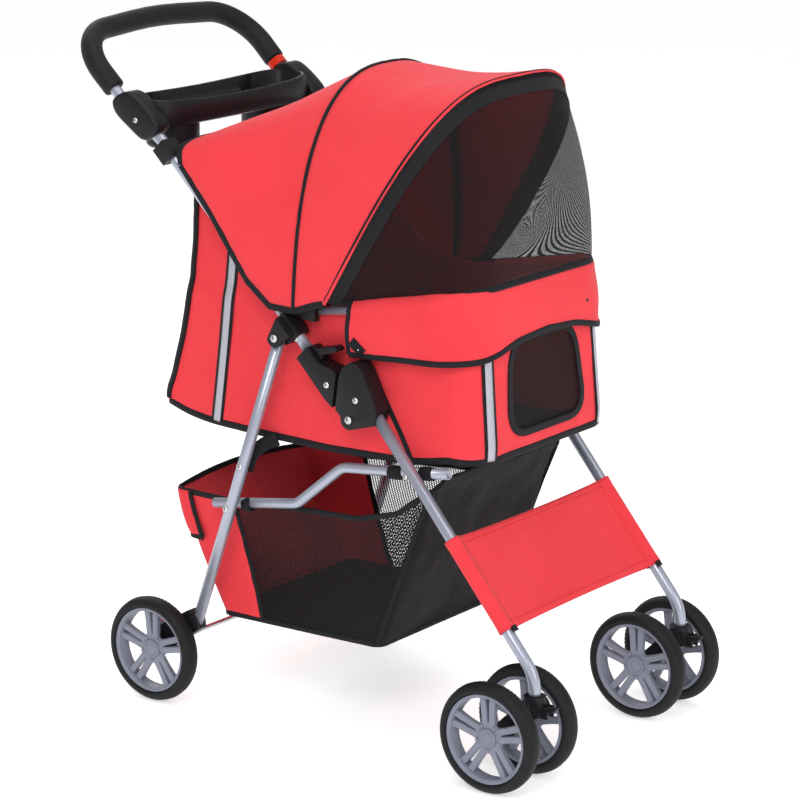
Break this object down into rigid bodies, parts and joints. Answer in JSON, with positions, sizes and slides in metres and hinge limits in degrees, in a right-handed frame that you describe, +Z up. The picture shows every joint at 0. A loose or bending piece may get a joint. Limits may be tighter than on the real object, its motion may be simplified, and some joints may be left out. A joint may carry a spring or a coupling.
{
  "type": "pet stroller",
  "caption": "Folding pet stroller with a fabric cabin, mesh front window, sliding canopy, lower basket, push handle with cup tray and twin-wheel casters.",
  "frame": {"origin": "on the floor, under the centre of the overall bounding box", "axes": "+X forward, +Y the stroller's left, +Z up"},
  "size_m": [0.8306, 0.4718, 0.9404],
  "materials": {
    "silver_tube": "silver grey paint with a slight blue tone, smooth",
    "black_plastic": "black moulded plastic, fine grain",
    "grip_foam": "black closed-cell foam sleeve",
    "red_plastic": "red moulded plastic",
    "tyre": "black moulded tyre with fine tread",
    "wheel_rim": "silver grey moulded plastic, five double spokes",
    "bright_steel": "bright plated steel",
    "red_fabric": "red woven polyester with black binding",
    "basket_fabric": "red woven rear, black mesh sides and black woven front and floor",
    "black_mesh": "fine black see-through net with black binding",
    "floor_board": "black stiff board in the cabin floor",
    "bow": "black spring bow under the canopy"
  },
  "bodies": {
    "upper_frame": {"handle_tube": "silver_tube", "grip_foam": "grip_foam", "grip_collar": "red_plastic", "tray": "black_plastic", "rail": "silver_tube", "cabin": "red_fabric", "floor_board": "floor_board", "canopy": "red_fabric", "mesh_window": "black_mesh", "cup_holder_left": "black_plastic", "tube_clip_left": "black_plastic", "leg_bracket_left": "black_plastic", "lock_upper_left": "black_plastic", "fold_pin_left": "bright_steel", "rear_leg_pin_left": "bright_steel", "canopy_hinge_left": "black_plastic", "cup_holder_right": "black_plastic", "tube_clip_right": "black_plastic", "leg_bracket_right": "black_plastic", "lock_upper_right": "black_plastic", "fold_pin_right": "bright_steel", "rear_leg_pin_right": "bright_steel", "canopy_hinge_right": "black_plastic"},
    "front_frame": {"footrest_panel": "red_fabric", "front_leg_left": "silver_tube", "lock_lower_left": "black_plastic", "front_leg_right": "silver_tube", "lock_lower_right": "black_plastic"},
    "rear_frame": {"rear_axle": "bright_steel", "rear_leg_left": "silver_tube", "rear_foot_left": "black_plastic", "rear_leg_right": "silver_tube", "rear_foot_right": "black_plastic"},
    "link_bars": {"basket": "basket_fabric", "link_bar_left": "silver_tube", "link_bar_right": "silver_tube"},
    "mid_bow": {"mid_bow": "bow"},
    "front_bow": {"front_bow": "bow"},
    "fold_latch_left": {"fold_latch_left": "black_plastic"},
    "caster_left": {"caster_fork_left": "black_plastic", "caster_axle_left": "bright_steel"},
    "swivel_lock_left": {"swivel_lock_left": "black_plastic"},
    "caster_left_outer_wheel": {"caster_left_outer_rim": "wheel_rim", "caster_left_outer_tyre": "tyre"},
    "caster_left_inner_wheel": {"caster_left_inner_rim": "wheel_rim", "caster_left_inner_tyre": "tyre"},
    "rear_wheel_left": {"rear_wheel_left_rim": "wheel_rim", "rear_wheel_left_tyre": "tyre"},
    "brake_pedal_left": {"brake_pedal_left": "red_plastic"},
    "fold_latch_right": {"fold_latch_right": "black_plastic"},
    "caster_right": {"caster_fork_right": "black_plastic", "caster_axle_right": "bright_steel"},
    "swivel_lock_right": {"swivel_lock_right": "black_plastic"},
    "caster_right_outer_wheel": {"caster_right_outer_rim": "wheel_rim", "caster_right_outer_tyre": "tyre"},
    "caster_right_inner_wheel": {"caster_right_inner_rim": "wheel_rim", "caster_right_inner_tyre": "tyre"},
    "rear_wheel_right": {"rear_wheel_right_rim": "wheel_rim", "rear_wheel_right_tyre": "tyre"},
    "brake_pedal_right": {"brake_pedal_right": "red_plastic"}
  },
  "joints": [
    {"name": "fold", "type": "hinge", "parent": "upper_frame", "child": "front_frame", "pos_m": [0.08882, 0, 0.452], "axis": [0, 1, 0], "range_deg": [0, 130], "deforming": ["floor_board", "cabin", "basket"]},
    {"name": "rear_leg_fold", "type": "hinge", "parent": "upper_frame", "child": "rear_frame", "pos_m": [-0.02718, 0, 0.548], "axis": [0, 1, 0], "range_deg": [0, 73.8]},
    {"name": "link_fold", "type": "hinge", "parent": "rear_frame", "child": "link_bars", "pos_m": [-0.12018, 0, 0.295], "axis": [0, 1, 0], "range_deg": [-29.6, 0]},
    {"name": "canopy_fold", "type": "hinge", "parent": "upper_frame", "child": "mid_bow", "pos_m": [-0.00518, 0, 0.59], "axis": [0, 1, 0], "range_deg": [-32, 0], "deforming": ["canopy", "mesh_window"]},
    {"name": "front_bow_fold", "type": "hinge", "parent": "mid_bow", "child": "front_bow", "pos_m": [0.04282, 0, 0.604], "axis": [0, 1, 0], "range_deg": [-8, 0]},
    {"name": "fold_latch_left_slide", "type": "slide", "parent": "upper_frame", "child": "fold_latch_left", "axis": [-0.6997, 0, 0.7145], "range_m": [0, 0.012], "stiffness_N_per_m": 150, "springref_m": -0.002},
    {"name": "caster_left_swivel", "type": "hinge", "parent": "front_frame", "child": "caster_left", "pos_m": [0.38032, 0.1776, 0.128], "axis": [0, 0, 1], "continuous": true},
    {"name": "swivel_lock_left_flip", "type": "hinge", "parent": "caster_left", "child": "swivel_lock_left", "pos_m": [0.40032, 0.1776, 0.112], "axis": [0, 1, 0], "range_deg": [0, 30]},
    {"name": "caster_left_outer_wheel_spin", "type": "hinge", "parent": "caster_left", "child": "caster_left_outer_wheel", "pos_m": [0.34012, 0.2219, 0.075], "axis": [0, 1, 0], "continuous": true},
    {"name": "caster_left_inner_wheel_spin", "type": "hinge", "parent": "caster_left", "child": "caster_left_inner_wheel", "pos_m": [0.34012, 0.1333, 0.075], "axis": [0, 1, 0], "continuous": true},
    {"name": "rear_wheel_left_spin", "type": "hinge", "parent": "rear_frame", "child": "rear_wheel_left", "pos_m": [-0.24118, 0.2104, 0.075], "axis": [0, 1, 0], "continuous": true},
    {"name": "brake_pedal_left_press", "type": "hinge", "parent": "rear_frame", "child": "brake_pedal_left", "pos_m": [-0.24318, 0, 0.099], "axis": [0, 1, 0], "range_deg": [-18, 0]},
    {"name": "fold_latch_right_slide", "type": "slide", "parent": "upper_frame", "child": "fold_latch_right", "axis": [-0.6997, 0, 0.7145], "range_m": [0, 0.012], "stiffness_N_per_m": 150, "springref_m": -0.002},
    {"name": "caster_right_swivel", "type": "hinge", "parent": "front_frame", "child": "caster_right", "pos_m": [0.38032, -0.1776, 0.128], "axis": [0, 0, 1], "continuous": true},
    {"name": "swivel_lock_right_flip", "type": "hinge", "parent": "caster_right", "child": "swivel_lock_right", "pos_m": [0.40032, -0.1776, 0.112], "axis": [0, 1, 0], "range_deg": [0, 30]},
    {"name": "caster_right_outer_wheel_spin", "type": "hinge", "parent": "caster_right", "child": "caster_right_outer_wheel", "pos_m": [0.34012, -0.2219, 0.075], "axis": [0, 1, 0], "continuous": true},
    {"name": "caster_right_inner_wheel_spin", "type": "hinge", "parent": "caster_right", "child": "caster_right_inner_wheel", "pos_m": [0.34012, -0.1333, 0.075], "axis": [0, 1, 0], "continuous": true},
    {"name": "rear_wheel_right_spin", "type": "hinge", "parent": "rear_frame", "child": "rear_wheel_right", "pos_m": [-0.24118, -0.2104, 0.075], "axis": [0, 1, 0], "continuous": true},
    {"name": "brake_pedal_right_press", "type": "hinge", "parent": "rear_frame", "child": "brake_pedal_right", "pos_m": [-0.24318, 0, 0.099], "axis": [0, 1, 0], "range_deg": [-18, 0]}
  ],
  "couplings": [
    {"joint": "rear_leg_fold", "follows": "fold", "ratio": 0.5657},
    {"joint": "link_fold", "follows": "fold", "ratio": -0.2265},
    {"joint": "front_bow_fold", "follows": "canopy_fold", "ratio": 0.25}
  ]
}
